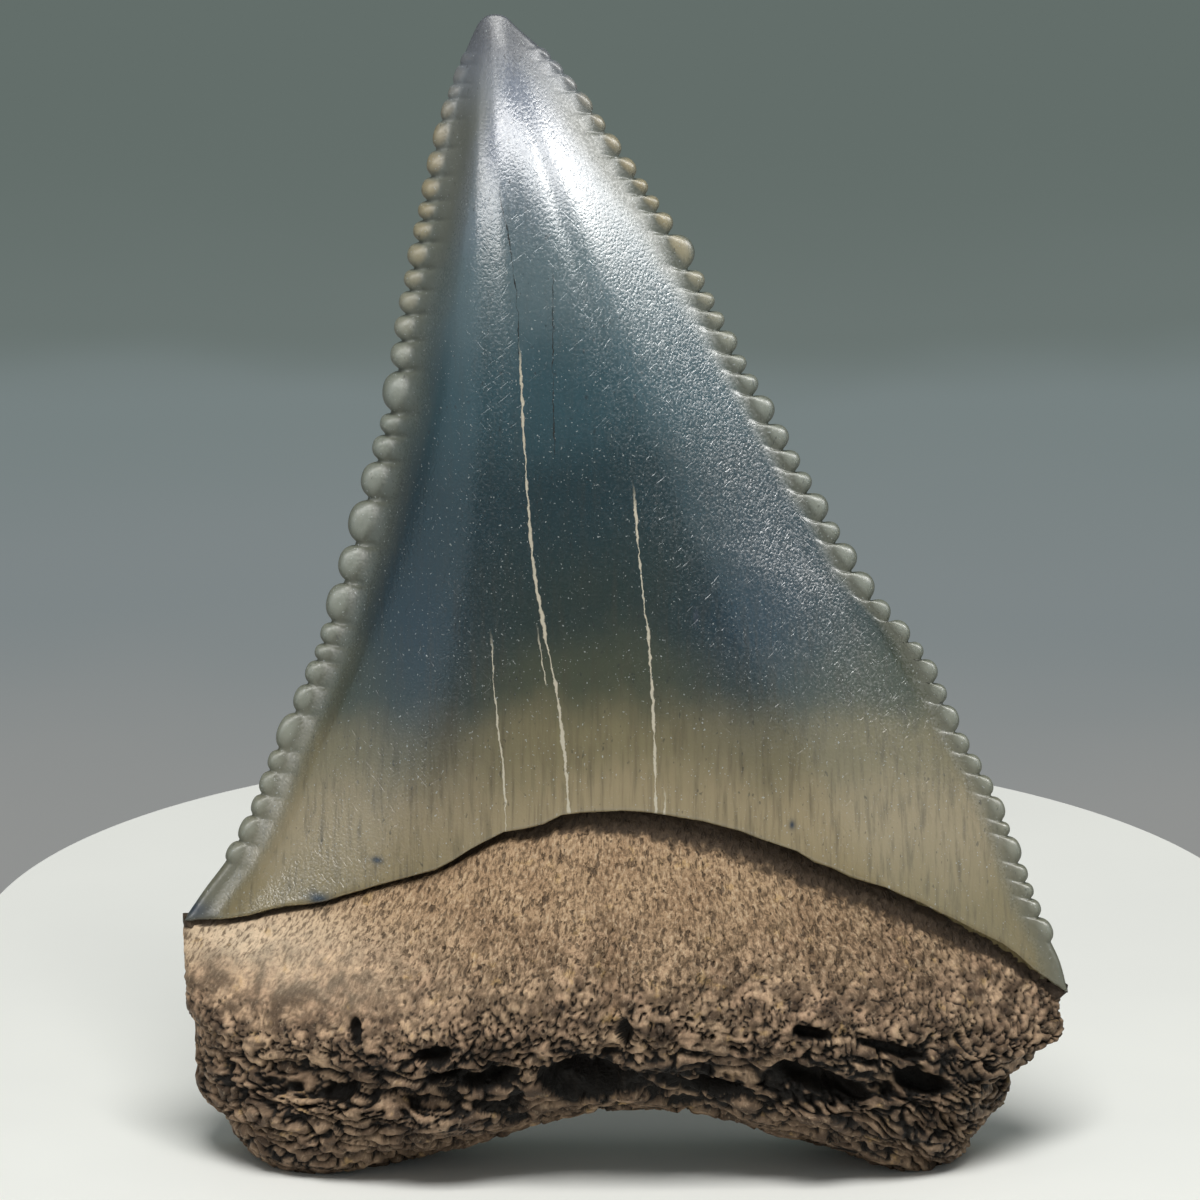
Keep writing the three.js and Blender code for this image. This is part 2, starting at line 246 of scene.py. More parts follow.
# The camera's elevation in degrees, its distance and lens, and the point it looks at in millimetres
CAMERA_ELEVATION = 16.0
CAMERA_DISTANCE = 400.0
CAMERA_LENS = 297.6
CAMERA_AIM = (-1.06, 0.0, 24.2)

# The lights: name, azimuth right of the camera, elevation, distance, size, power, colour
WARM_WHITE = (1.0, 0.99, 0.96)
SOFT_LIGHTS = [
    ("top", 6, 64, 320, (200, 120), 1.05, WARM_WHITE),
    ("right", 70, -1, 330, (220, 190), 0.08, (0.66, 0.9, 1.0)),
    ("left", -66, -6, 330, (180, 160), 0.05, (0.62, 0.88, 1.0)),
]
DULL_LIGHTS = [
    ("soft left", -52, 30, 330, (240, 200), 0.5, (1.0, 0.98, 0.94)),
]
GLINT_COLOUR = (1.0, 0.99, 0.97)
GLINTS = [
    ("glint", 8, 24, 330, (420, 76), 1.4, GLINT_COLOUR),
    ("middle glint", 54, 25, 330, (250, 62), 0.6, GLINT_COLOUR),
    ("side glint", 80, 23, 330, (180, 64), 0.55, GLINT_COLOUR),
    ("crest glint", -42, 9, 330, (200, 56), 0.36, GLINT_COLOUR),
]
LIGHT_AIM = (0, 0, 25)

# Deep cavities of the front root face: x, z, half-width, half-height, depth, slope of the long axis
CAVITIES = [
    (-1.5, 4.9, 2.3, 1.25, 1.8, 0.0),
    (-0.1, 7.3, 0.4, 0.8, 0.7, -0.3),
    (-7.9, 6.2, 0.9, 0.4, 0.9, 0.1),
    (-7.3, 5.2, 1.0, 0.4, 1.0, 0.1),
    (-5.6, 5.0, 1.5, 0.45, 1.1, 0.15),
    (-11.8, 4.2, 1.2, 0.3, 0.8, 0.1),
    (-11.0, 6.9, 0.3, 0.7, 0.5, 0.0),
    (3.2, 4.6, 2.0, 0.5, 1.1, -0.15),
    (7.6, 7.2, 1.0, 0.35, 0.8, -0.2),
    (8.0, 4.9, 2.2, 0.6, 1.1, -0.3),
    (12.0, 4.6, 1.5, 0.45, 0.9, -0.35),
    (10.8, 6.2, 1.6, 0.3, 0.6, -0.4),
]

# Worn bone: the slits fan out downwards from the top of the neck, ridges bend down to the right as far
# as the end of the ledges, and the dark band under the enamel is thin on the left and widest right of
# the middle
SLIT_FAN = 0.03
NECK_TOP = 16.0
LEDGE_BEND = 0.03
LEDGE_END = 15.0
CORNER_RISE = 1.3
NECK_BAND = 1.3
NECK_BAND_THIN = 0.25
NECK_BAND_X = 6.0


def smoothstep(values, low, high):
    share = np.clip((values - low) / (high - low), 0.0, 1.0)
    return share * share * (3.0 - 2.0 * share)


def mix(first, second, share):
    return first * (1.0 - share) + second * share


class SmoothCurve:
    """A centripetal Catmull-Rom curve through points in the front view, read by share of its length."""

    def __init__(self, points, samples=60):
        knots = np.array(points, float)
        ends = [2 * knots[0] - knots[1], *knots, 2 * knots[-1] - knots[-2]]
        pieces = [self.piece(ends[i : i + 4], samples) for i in range(len(knots) - 1)]
        self.points = np.vstack([*pieces, knots[-1:]])
        steps = np.linalg.norm(np.diff(self.points, axis=0), axis=1)
        self.lengths = np.concatenate([[0.0], np.cumsum(steps)])
        self.length = self.lengths[-1]

    @staticmethod
    def piece(four, samples):
        p0, p1, p2, p3 = (np.array(p) for p in four)
        gaps = [math.sqrt(max(np.linalg.norm(b - a), 1e-9)) for a, b in ((p0, p1), (p1, p2), (p2, p3))]
        start = (p1 - p0) / gaps[0] - (p2 - p0) / (gaps[0] + gaps[1]) + (p2 - p1) / gaps[1]
        end = (p2 - p1) / gaps[1] - (p3 - p1) / (gaps[1] + gaps[2]) + (p3 - p2) / gaps[2]
        t = np.linspace(0, 1, samples, endpoint=False)[:, None]
        hermite = (2 * t**3 - 3 * t**2 + 1) * p1 + (t**3 - 2 * t**2 + t) * start * gaps[1]
        return hermite + (3 * t**2 - 2 * t**3) * p2 + (t**3 - t**2) * end * gaps[1]

    def at(self, share):
        place = np.asarray(share) * self.length
        x = np.interp(place, self.lengths, self.points[:, 0])
        z = np.interp(place, self.lengths, self.points[:, 1])
        return np.stack([x, z], axis=-1)

    def share_at_height(self, heights):
        """For a curve that rises all along."""
        return np.interp(heights, self.points[:, 1], self.lengths) / self.length

    def left_normal(self, share):
        """Unit normals pointing to the left of the curve's direction."""
        ahead = self.at(np.minimum(np.asarray(share) + 0.002, 1.0))
        behind = self.at(np.maximum(np.asarray(share) - 0.002, 0.0))
        run = ahead - behind
        run /= np.linalg.norm(run, axis=-1, keepdims=True)
        return np.stack([-run[..., 1], run[..., 0]], axis=-1)


def profile_value(profile, t):
    """A smooth curve through the profile's points, with flat or one-way stretches kept so."""
    x, y = np.array(profile, float).T
    slopes = np.diff(y) / np.diff(x)
    tangents = np.concatenate([[slopes[0]], (slopes[:-1] + slopes[1:]) / 2, [slopes[-1]]])
    turning = np.concatenate([[False], slopes[:-1] * slopes[1:] <= 0, [False]])
    tangents[turning] = 0.0
    i = np.clip(np.searchsorted(x, t, side="right") - 1, 0, len(x) - 2)
    width = x[i + 1] - x[i]
    u = (t - x[i]) / width
    start = (2 * u**3 - 3 * u**2 + 1) * y[i] + (u**3 - 2 * u**2 + u) * width * tangents[i]
    return start + (3 * u**2 - 2 * u**3) * y[i + 1] + (u**3 - u**2) * width * tangents[i + 1]


def bounded_patch(lower, upper, left, right, across, up):
    """Points (x, z) inside four border curves. across and up are arrays of shares, of the same shape."""
    a = across[..., None]
    b = up[..., None]
    ruled = (1 - b) * lower.at(across) + b * upper.at(across) + (1 - a) * left.at(up) + a * right.at(up)
    corners = (1 - a) * (1 - b) * lower.at(0) + a * (1 - b) * lower.at(1)
    return ruled - corners - (1 - a) * b * upper.at(0) - a * b * upper.at(1)


class GradientNoise:
    """Smooth 3D noise between about -1 and 1, the same at every run."""

    SIZE = 1024

    def __init__(self, seed):
        rng = np.random.default_rng(seed)
        self.order = rng.permutation(self.SIZE)
        directions = rng.normal(size=(self.SIZE, 3))
        self.directions = directions / np.linalg.norm(directions, axis=1, keepdims=True)

    def __call__(self, x, y, z):
        places = np.stack(np.broadcast_arrays(x, y, z), axis=-1).astype(float)
        cells = np.floor(places).astype(int)
        inside = places - cells
        fade = inside**3 * (inside * (inside * 6 - 15) + 10)
        total = np.zeros(places.shape[:-1])
        for corner in itertools.product((0, 1), repeat=3):
            index = np.zeros(cells.shape[:-1], int)
            for axis in range(3):
                index = self.order[(index + cells[..., axis] + corner[axis]) % self.SIZE]
            reach = (self.directions[index] * (inside - corner)).sum(axis=-1)
            weight = np.prod(np.where(corner, fade, 1 - fade), axis=-1)
            total += reach * weight
        return total * 1.7

    def layers(self, x, y, z, octaves):
        total = 0.0
        for octave in range(octaves):
            scale = 2.0**octave
            total = total + self(x * scale, y * scale, z * scale) / scale
        return total


class CellNoise:
    """Scattered cells in space: the distance to a cell's border and one random value for each cell."""

    SIZE = 512

    def __init__(self, seed):
        rng = np.random.default_rng(seed)
        self.order = rng.permutation(self.SIZE)
        self.jitter = rng.random((self.SIZE, 3))
        self.values = rng.random(self.SIZE)

    def __call__(self, x, y, z):
        places = np.stack([x, y, z], axis=-1)
        cells = np.floor(places).astype(int)
        nearest = np.full(x.shape, 9.0)
        second = np.full(x.shape, 9.0)
        value = np.zeros(x.shape)
        for step in itertools.product((-1, 0, 1), repeat=3):
            corner = cells + step
            index = np.zeros(x.shape, int)
            for axis in range(3):
                index = self.order[(index + corner[..., axis]) % self.SIZE]
            distance = np.linalg.norm(corner + self.jitter[index] - places, axis=-1)
            closer = distance < nearest
            second = np.where(closer, nearest, np.minimum(second, distance))
            value = np.where(closer, self.values[index], value)
            nearest = np.where(closer, distance, nearest)
        return second - nearest, value


def crown_section(across, crest=0.0):
    """Depth as a share of the greatest. crest moves the highest line to the left of the middle."""
    side = 2 * across - 1
    side = (side + crest) / (1 + crest * side)
    return (1 - np.abs(side) ** CROWN_FULLNESS) ** CROWN_HOLLOW


def even_share(flat):
    """Share across the crown between smooth lines through its edges, without their small waves."""
    x, z = flat[..., 0], flat[..., 1]
    left, right = (np.polyval(np.polyfit(*np.array(edge).T[::-1], 4), z) for edge in (LEFT_EDGE, RIGHT_EDGE))
    return np.clip((x - left) / np.maximum(right - left, 1.0), 0, 1)


def root_section(across, up, flat):
    side = np.abs(2 * across - 1)
    full = np.sqrt(np.maximum(1 - side**3.2, 0)) * (1 - 0.24 * side**2)
    return mix(full, crown_section(even_share(flat)), smoothstep(up, 0.55, 1.0))


def serration_beads(notches, curve, full_reach, shares, inward):
    """How far the edge stands out and the height of the round bead, 0 to 1, at places given by their
    share along the edge and their distance inward from it."""
    cuts = np.sort(curve.share_at_height(np.array(notches)))
    i = np.clip(np.searchsorted(cuts, shares, side="right") - 1, 0, len(cuts) - 2)
    length = (cuts[i + 1] - cuts[i]) * curve.length
    inside = np.clip((shares - cuts[i]) / (cuts[i + 1] - cuts[i]), 0, 1)
    inside = np.where((shares < cuts[0]) | (shares > cuts[-1]), 0.0, inside)
    along = np.clip((2 * inside**1.12 - 1) / SERRATION_FILL, -1, 1)
    height = curve.at(np.clip(shares, 0, 1))[..., 1]
    size = mix(BEAD_TIP_SIZE, 1.0, smoothstep(height, *BEAD_TIP_HEIGHTS))
    size *= mix(1.0, BEAD_BASE_SIZE, smoothstep(height, *BEAD_BASE_HEIGHTS))
    reach = full_reach * length**0.7 * size * (1 - np.abs(along) ** 2.3) ** 0.6
    from_notch = inward - reach * np.exp(-((inward / SERRATION_FADE) ** 2))
    half = np.where(from_notch < 0, BEAD_OUTER_HALF, BEAD_INNER_HALF)
    ball = np.maximum(1 - along**2 - (from_notch / half) ** 2, 0)
    return reach, ball * size * length**0.5


def crown_columns(width, count, rim_count):
    """Shares across the crown, crowded into a strip along each edge. width is an array, one per row."""
    rim = np.minimum(CROWDED_WIDTH, CROWDED_SHARE * width)[:, None]
    steps = rim * (np.arange(rim_count) / rim_count) ** 1.35 / width[:, None]
    middle_start = rim / width[:, None]
    middle_count = count + 1 - 2 * rim_count
    middle = middle_start + (1 - 2 * middle_start) * np.linspace(0, 1, middle_count)
    return np.hstack([steps, middle, 1 - steps[:, ::-1]])


def crown_face(front, rows, count, rim_count):
    """Grid of points of one face of the crown, from the enamel border up, and what its finish needs."""
    border = SmoothCurve(ENAMEL_BORDER_FRONT if front else ENAMEL_BORDER_BACK)
    left = SmoothCurve(LEFT_EDGE)
    right = SmoothCurve(RIGHT_EDGE)
    width = np.linalg.norm(right.at(rows) - left.at(rows), axis=1)
    across = crown_columns(width, count, rim_count)
    up = np.broadcast_to(rows[:, None], across.shape)
    flat = bounded_patch(border, SmoothCurve(TIP), left, right, across, up)
    even = even_share(flat)
    roundness = np.zeros(across.shape)
    edge = np.full(across.shape, 99.0)
    cove = np.zeros(across.shape)
    row_direction = (right.at(rows) - left.at(rows)) / width[:, None]
    for curve, notches, full_reach, share, cove_depth, cove_end, side in (
        (left, LEFT_NOTCHES, LEFT_SERRATION_REACH, across, LEFT_COVE_DEPTH, LEFT_COVE_END, 1.0),
        (right, RIGHT_NOTCHES, RIGHT_SERRATION_REACH, 1 - across, RIGHT_COVE_DEPTH, RIGHT_COVE_END, -1.0),
    ):
        outward = curve.left_normal(rows) * side
        tangent = np.stack([outward[:, 1], -outward[:, 0]], axis=-1) * side
        along_row = share * width[:, None]
        inward = along_row * -side * (row_direction * outward).sum(axis=-1)[:, None]
        slide = along_row * side * (row_direction * tangent).sum(axis=-1)[:, None]
        reach, bead = serration_beads(notches, curve, full_reach, up + slide / curve.length, inward)
        narrow = smoothstep(width, 0.5, 3.0)[:, None]
        push = reach * np.exp(-((inward / SERRATION_FADE) ** 2)) * narrow
        flat = flat + outward[:, None, :] * push[..., None]
        roundness = np.maximum(roundness, bead * narrow)
        end = cove_end * smoothstep(width, 0, 9)[:, None]
        opening = smoothstep(inward, 0, 2 * COVE_START)
        cove += cove_depth * opening * smoothstep(inward, end + COVE_SIDE, end - COVE_SIDE)
        edge = np.minimum(edge, inward)

    if front:
        taper = CROWN_TAPER_EVEN * up + CROWN_TAPER_LATE * up**4
        depth = CROWN_DEPTH_FRONT * crown_section(even, CREST_SHIFT * up) * (1 - taper)
    else:
        depth = CROWN_DEPTH_BACK * crown_section(even) * (1 - CROWN_TAPER_BACK * up)
    depth *= 1 - up**TIP_BLUNTNESS
    rounding = np.sqrt(1 - (1 - np.clip(edge / BLADE_ROUNDING, 0, 1)) ** 2)
    end = np.clip((1 - up) * 24, 0, 1) ** 0.5
    blade = (BLADE_HALF_THICKNESS * rounding + BEAD_HALF_THICKNESS * roundness) * end
    cove *= smoothstep(width, 2, 7)[:, None] * mix(1.0, 0.4, smoothstep(up, 0.75, 0.35))
    depth -= cove
    depth = (depth + np.sqrt(depth**2 + CREASE_SOFTNESS**2)) / 2 * rounding + blade
    y = EDGE_Y + (-depth if front else depth)
    points = np.stack([flat[..., 0], y, flat[..., 1]], axis=-1)
    return points, {"edge_mm": edge, "bead": roundness, "height": up}


def grid_quads(start, rows, columns, turned):
    """Corner numbers of the quads of a grid of points whose first number is start."""
    first = start + np.arange(rows - 1)[:, None] * columns + np.arange(columns - 1)[None, :]
    corners = [first, first + 1, first + columns + 1, first + columns]
    if turned:
        corners.reverse()
    return np.stack([c.ravel() for c in corners], axis=1)


def strip_quads(first, second):
    """Quads between two rows of point numbers of the same length."""
    return np.stack([first[:-1], first[1:], second[1:], second[:-1]], axis=1)


def zip_triangles(fine, coarse):
    """Triangles between two rows of point numbers with different numbers of points."""
    triangles = []
    i = j = 0
    while i < len(fine) - 1 or j < len(coarse) - 1:
        next_fine = (i + 1) / (len(fine) - 1) if i < len(fine) - 1 else 9
        next_coarse = (j + 1) / (len(coarse) - 1) if j < len(coarse) - 1 else 9
        if next_fine <= next_coarse:
            triangles.append((fine[i], fine[i + 1], coarse[j]))
            i += 1
        else:
            triangles.append((fine[i], coarse[j + 1], coarse[j]))
            j += 1
    return np.array(triangles)


def make_piece(name, points, faces, attributes):
    """A smooth-shaded mesh object in metres, with one number per point for each attribute."""
    mesh = bpy.data.meshes.new(name)
    mesh.from_pydata((points * MM).tolist(), [], [face.tolist() for group in faces for face in group])
    mesh.shade_smooth()
    for key, values in attributes.items():
        layer = mesh.attributes.new(key, "FLOAT", "POINT")
        layer.data.foreach_set("value", np.ascontiguousarray(values, dtype=np.float32))
    mesh.validate()
    piece = bpy.data.objects.new(name, mesh)
    bpy.context.collection.objects.link(piece)
    return piece


def merge_close(piece, distance):
    """Joins points that lie within a distance of each other, in millimetres."""
    shape = bmesh.new()
    shape.from_mesh(piece.data)
    bmesh.ops.remove_doubles(shape, verts=shape.verts, dist=distance * MM)
    shape.to_mesh(piece.data)
    shape.free()


def crown_rows(count):
    """Shares up the crown: even, with a few closely spaced at the enamel's lower edge."""
    rounded = np.array([0.0, 0.0012, 0.003, 0.006])
    return np.concatenate([rounded, np.linspace(0.01, 1.0, count - len(rounded))])


def make_crown():
    """The enamel: two faces that meet along the cutting edges, and a thin lip under their lower ends."""
    rows = crown_rows(CROWN_ROWS)
    front, front_values = crown_face(True, rows, CROWN_COLUMNS_FRONT, CROWDED_COLUMNS)
    back, back_values = crown_face(False, rows, CROWN_COLUMNS_BACK, CROWDED_COLUMNS)
    for face in (front, back):
        ragged = GradientNoise(LIP_SEED).layers(face[0, :, 0] / RAGGED_LENGTH, 0.5, 0.5, 3)
        fade = np.linspace(1, 0, RAGGED_ROWS + 1)[:-1, None]
        face[:RAGGED_ROWS, 1:-1, 2] += RAGGED_HEIGHT * ragged[1:-1] * fade
    bevel = ENAMEL_LIP * 0.35 * np.array([1.0, 0.45, 0.12, 0.0])
    front[: len(bevel), 1:-1, 1] += bevel[:, None]
    back[: len(bevel), 1:-1, 1] -= bevel[:, None]

    front_count = front.shape[0] * front.shape[1]
    back_count = back.shape[0] * back.shape[1]
    front_lip = front[0] + np.array([0, ENAMEL_LIP, LIP_RISE])
    back_lip = back[0] + np.array([0, -ENAMEL_LIP, LIP_RISE])
    front_lip[:, 1] = np.minimum(front_lip[:, 1], EDGE_Y)
    back_lip[:, 1] = np.maximum(back_lip[:, 1], EDGE_Y)
    points = np.vstack([front.reshape(-1, 3), back.reshape(-1, 3), front_lip, back_lip])

    front_ids = np.arange(front_count).reshape(front.shape[:2])
    back_ids = front_count + np.arange(back_count).reshape(back.shape[:2])
    front_lip_row = front_count + back_count + np.arange(front.shape[1])
    back_lip_row = front_lip_row[-1] + 1 + np.arange(back.shape[1])
    faces = [
        grid_quads(0, front.shape[0], front.shape[1], False),
        grid_quads(front_count, back.shape[0], back.shape[1], True),
        strip_quads(front_ids[:, 0], back_ids[:, 0]),
        strip_quads(back_ids[:, -1], front_ids[:, -1]),
        zip_triangles(front_ids[-1], back_ids[-1]),
        strip_quads(front_lip_row, front_ids[0]),
        strip_quads(back_ids[0], back_lip_row),
        zip_triangles(back_lip_row, front_lip_row),
    ]
    attributes = {
        key: np.concatenate([
            front_values[key].ravel(),
            back_values[key].ravel(),
            front_values[key][0],
            back_values[key][0],
        ])
        for key in front_values
    }
    crown = make_piece("crown", points, faces, attributes)
    merge_close(crown, CROWN_MERGE)
    return crown


def spot(x, z, cx, cz, half_width, half_height):
    """1 at a place of the front view, falling smoothly to 0 around it."""
    return np.exp(-(((x - cx) / half_width) ** 2) - ((z - cz) / half_height) ** 2)


def root_relief(x, z):
    return sum(depth * spot(x, z, *place) for *place, depth in ROOT_RELIEF)


def root_base(across, up, front):
    """Smooth points of one face of the root and its (x, z) places."""
    border = SmoothCurve(ENAMEL_BORDER_FRONT if front else ENAMEL_BORDER_BACK)
    flat = bounded_patch(
        SmoothCurve(LOWER_BORDER), border, SmoothCurve(ROOT_LEFT), SmoothCurve(ROOT_RIGHT), across, up
    )
    section = root_section(across, up, flat)
    if front:
        depth = ROOT_DEPTH_FRONT * section * profile_value(ROOT_FRONT_PROFILE, up)
        open_face = smoothstep(up, 0, 0.2) * (1 - smoothstep(up, 0.8, 1))
        depth = depth + root_relief(flat[..., 0], flat[..., 1]) * np.minimum(1, 2 * section) * open_face
        y = EDGE_Y - depth
    else:
        y = EDGE_Y + ROOT_DEPTH_BACK * section * profile_value(ROOT_BACK_PROFILE, up)
    return np.stack([flat[..., 0], y, flat[..., 1]], axis=-1)


def grid_normals(points, outward_sign):
    along = np.gradient(points, axis=1)
    rising = np.gradient(points, axis=0)
    normals = np.cross(along, rising)
    lengths = np.linalg.norm(normals, axis=-1, keepdims=True)
    return outward_sign * normals / np.maximum(lengths, 1e-12)


def even_rows(count, front):
    """Shares up the root, closest at the floor, spaced along the surface left of its middle."""
    fine = np.linspace(0, 1, 2000)[:, None]
    column = root_base(np.full(fine.shape, MEASURED_COLUMN), fine, front)[:, 0]
    lengths = np.concatenate([[0], np.cumsum(np.linalg.norm(np.diff(column, axis=0), axis=1))])
    return np.interp(lengths[-1] * np.linspace(0, 1, count) ** ROW_CROWDING, lengths, fine[:, 0])


def scaled(x, y, z, sizes):
    return x / sizes[0], y / sizes[1], z / sizes[2]


def fanned_x(x, z):
    """A value that is the same all along each line of the fan."""
    return x / (1 + SLIT_FAN * (NECK_TOP - z))


def bone_texture(points, side):
    """How far the worn bone lies below its smooth surface, in millimetres, and three values from 0 to 1:
    how dark the painted shade of a pit is at each place, how high on a ridge, which sets a painted
    highlight, and how worn the bone is.

    Near the enamel the bone has upright fibres that fan out downwards, then small round knobs, and lowest
    it is open: ridges like worms on the left, a thin-walled mesh in the middle and slanting ledges on the
    right.
    """
    x, y, z = np.moveaxis(points, -1, 0)
    noise = GradientNoise(BONE_SEED + side)
    wander = noise.layers(x / 1.3, y / 1.3, z / 1.3, 3)
    drift = noise.layers(x / 1.3 + 40, y / 1.3, z / 1.3, 3)
    patch = noise.layers(x / 4.0 + 80, y / 4.0, z / 2.5, 3)
    height = z + CORNER_RISE * (x / 17) ** 2 + 0.8 * patch
    worn = 1 - smoothstep(height, *WORN_HEIGHTS)
    opened = 1 - smoothstep(height, *OPEN_HEIGHTS)
    level = z + LEDGE_BEND * np.clip(x, 0, LEDGE_END) ** 2
    fan = fanned_x(x, z)
    fibres = noise(*scaled(fan, y, z, FIBRE_SIZE))
    knob_x, knob_y, knob_z = scaled(x, y, z, KNOB_SIZE)
    knobs = noise(knob_x + 0.5 * wander, knob_y, knob_z + 0.5 * drift)
    worm_x, worm_y, worm_z = scaled(x, y, level, WORM_SIZE)
    worms = noise(worm_x + 0.6 * wander, worm_y, worm_z + 0.8 * drift)
    shares = (1 - worn, worn * (1 - opened), worn * opened)
    pattern = sum(share * zone for share, zone in zip(shares, (fibres, knobs, worms)))
    pattern /= np.sqrt(sum(share**2 for share in shares))
    gap, deep, shade_start, shade_dark = (
        sum(share * value for share, value in zip(shares, values)) for values in zip(*BONE_ZONES)
    )
    gap *= 1 + 0.5 * patch
    for place in OPEN_PLACES:
        gap += OPEN_GAP * spot(x, z, *place)
    calm = 1 - 0.6 * spot(x, z, *PALE_PLACE)
    sunk = calm * np.clip(1 - np.abs(pattern) / np.maximum(gap, 0.1), 0, 1)

    edge, value = CellNoise(CELL_SEED + side)(x / 1.0 + 0.5 * wander, y / 1.1, level / 0.6 + 0.5 * drift)
    cell = smoothstep(edge, 0.06, 0.24) * smoothstep(value, 0.4, 0.55)
    sunk = np.maximum(sunk, opened * cell * np.exp(-(((x + 1.0) / 7.0) ** 4)))
    ledge = noise.layers(x / 4.0, y / 4.0, level / 1.2, 2)
    lumps = noise.layers(x / 0.9, y / 0.9, z / 0.6, 3)
    round_top = 1 - np.sqrt(1 - sunk**2)
    depth = deep * round_top + 0.4 * ledge * opened + 0.1 * lumps * mix(0.25, 1, worn)
    # Painted shade: the deeper in a valley, the darker the colour of the pit
    pit_shade = shade_dark * smoothstep(sunk, shade_start, 0.9)
    # The third value sets the painted highlight of the ridge tops
    return depth, pit_shade, (1 - sunk) * smoothstep(lumps, -0.7, 0.5), worn


def cavity_depth(x, z, wander):
    depth = np.zeros(x.shape)
    for cx, cz, half_width, half_height, deep, slope in CAVITIES:
        along = (x - cx) / half_width
        over = (z - cz - slope * (x - cx)) / half_height
        inside = 1 - np.sqrt(along**2 + over**2) + 0.25 * wander
        depth = np.maximum(depth, deep * smoothstep(inside, 0.0, 0.55))
    return depth


def root_face(front, row_count, column_count):
    """Grid of points of one face of the root with its worn surface, and what its finish needs."""
    up, across = np.meshgrid(even_rows(row_count, front), np.linspace(0, 1, column_count), indexing="ij")
    base = root_base(across, up, front)
    steps = np.linalg.norm(np.diff(base, axis=0), axis=-1)
    run = np.vstack([np.zeros(column_count), np.cumsum(steps, axis=0)])
    x, y, z = np.moveaxis(base, -1, 0)
    side = 0 if front else 1
    depth, pit_shade, crest, worn = bone_texture(base, side)
    hollow = np.zeros(x.shape)
    if front:
        wander = GradientNoise(HOLLOW_SEED).layers(x / 1.1, y / 1.1, z / 0.8, 2)
        hollow = cavity_depth(x, z, wander)
    depth = mix(depth, 0.25 * depth, smoothstep(hollow, 0.1, 0.5)) + hollow
    # The cavities get painted shade as well, darkest where they are deep
    pit_shade = np.maximum(pit_shade, smoothstep(hollow, 0.03, 0.2))
    roughen = GradientNoise(ROUGH_SEED + side).layers(x / 0.35, y / 0.35, z / 0.35, 3)
    below = run[-1] - run
    band = NECK_BAND_THIN + (NECK_BAND - NECK_BAND_THIN) * np.exp(-(((x - NECK_BAND_X) / 10.0) ** 4))
    neck = smoothstep(below + 0.25 * roughen * band, 1.15 * band, 0.75 * band)
    depth = depth * (1 - 0.6 * neck) + neck * (0.2 + 0.08 * roughen)
    rim = smoothstep(run + 0.4 * roughen, 0.9, 0.4)
    depth = depth * (1 - 0.6 * rim)
    thin_rim = np.minimum(1, 14 * np.minimum(across, 1 - across) + 0.6)
    normals = grid_normals(base, 1.0 if front else -1.0)
    points = base - normals * (np.maximum(depth, -LUMP_HEIGHT) * thin_rim)[..., None]
    points[..., 2] = np.maximum(points[..., 2], 0.0)
    fan = fanned_x(x, z)
    # Less painted shade near the rim at the floor
    pit_shade = pit_shade * (1 - 0.6 * rim)
    return points, {"pit_shade": pit_shade, "crest": crest, "worn": worn, "neck": neck, "rim": rim, "fan": fan}


def used_only(points, faces, attributes):
    """The points that the faces use, with the faces and attributes to match."""
    used, places = np.unique(np.concatenate([group.ravel() for group in faces]), return_inverse=True)
    ends = np.cumsum([group.size for group in faces])[:-1]
    faces = [part.reshape(group.shape) for part, group in zip(np.split(places.ravel(), ends), faces)]
    return points[used], faces, {key: values[used] for key, values in attributes.items()}


def make_root():
    """The front and the back of the root, which share the points of their rim."""
    front, front_values = root_face(True, *ROOT_GRID_FRONT)
    back, back_values = root_face(False, *ROOT_GRID_BACK)
    front[-1] += np.array([0, TUCK_IN, TUCK_UP])
    back[-1] += np.array([0, -TUCK_IN, TUCK_UP])
    front[-1, :, 1] = np.minimum(front[-1, :, 1], EDGE_Y)
    back[-1, :, 1] = np.maximum(back[-1, :, 1], EDGE_Y)

    front_ids = np.arange(front.shape[0] * front.shape[1]).reshape(front.shape[:2])
    inner = back[1:, 1:-1]
    inner_ids = front_ids.size + np.arange(inner.shape[0] * inner.shape[1]).reshape(inner.shape[:2])
    points = np.vstack([front.reshape(-1, 3), inner.reshape(-1, 3)])
    attributes = {
        key: np.concatenate([front_values[key].ravel(), back_values[key][1:, 1:-1].ravel()])
        for key in front_values
    }
    front_faces = [grid_quads(0, front.shape[0], front.shape[1], False)]
    back_faces = [
        grid_quads(front_ids.size, inner.shape[0], inner.shape[1], True),
        zip_triangles(inner_ids[0], front_ids[0]),
        zip_triangles(front_ids[:, 0], inner_ids[:, 0]),
        zip_triangles(inner_ids[:, -1], front_ids[:, -1]),
        zip_triangles(front_ids[-1], inner_ids[-1]),
    ]
    pieces = []
    for name, faces in (("root_front", front_faces), ("root_back", back_faces)):
        piece = make_piece(name, *used_only(points, faces, attributes))
        merge_close(piece, ROOT_MERGE)
        pieces.append(piece)
    return pieces


